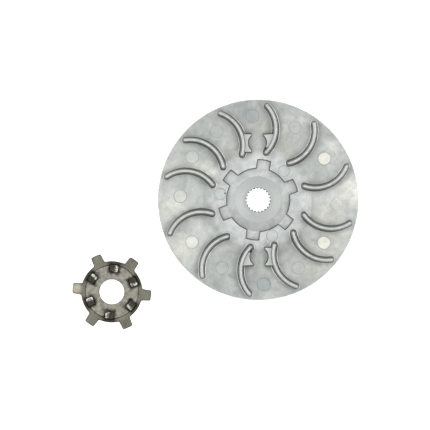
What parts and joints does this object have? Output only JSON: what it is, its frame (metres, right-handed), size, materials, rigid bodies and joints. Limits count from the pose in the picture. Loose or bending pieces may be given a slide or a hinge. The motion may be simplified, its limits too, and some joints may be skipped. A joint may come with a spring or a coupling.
{
  "type": "cvt pulley set",
  "caption": "Die-cast fixed half of a scooter belt drive pulley with curved fan vanes and splined bush, and its loose kick starter star lying beside it.",
  "frame": {"origin": "centre of the bore, in the plane of the hub face on the belt side; the pulley stands on this plane and the star lies on it", "axes": "+Z along the pulley's axis away from the belt, out of the fan side; +X to the right and +Y up, seen from the fan side with the star at the lower left"},
  "size_m": [0.1611, 0.1294, 0.0205],
  "materials": {
    "cast_aluminium": "satin die-cast",
    "bush_steel": "machined",
    "hardened_steel": "hardened, oil dark"
  },
  "bodies": {
    "pulley": {"fan_pulley": "cast_aluminium", "splined_hub_bush": "bush_steel"},
    "star": {"kick_star": "hardened_steel"}
  },
  "joints": [
    {"name": "star_lift", "type": "slide", "parent": "pulley", "child": "star", "axis": [0.5469, 0.3438, 0.7633], "range_m": [0, 0.1507]}
  ]
}
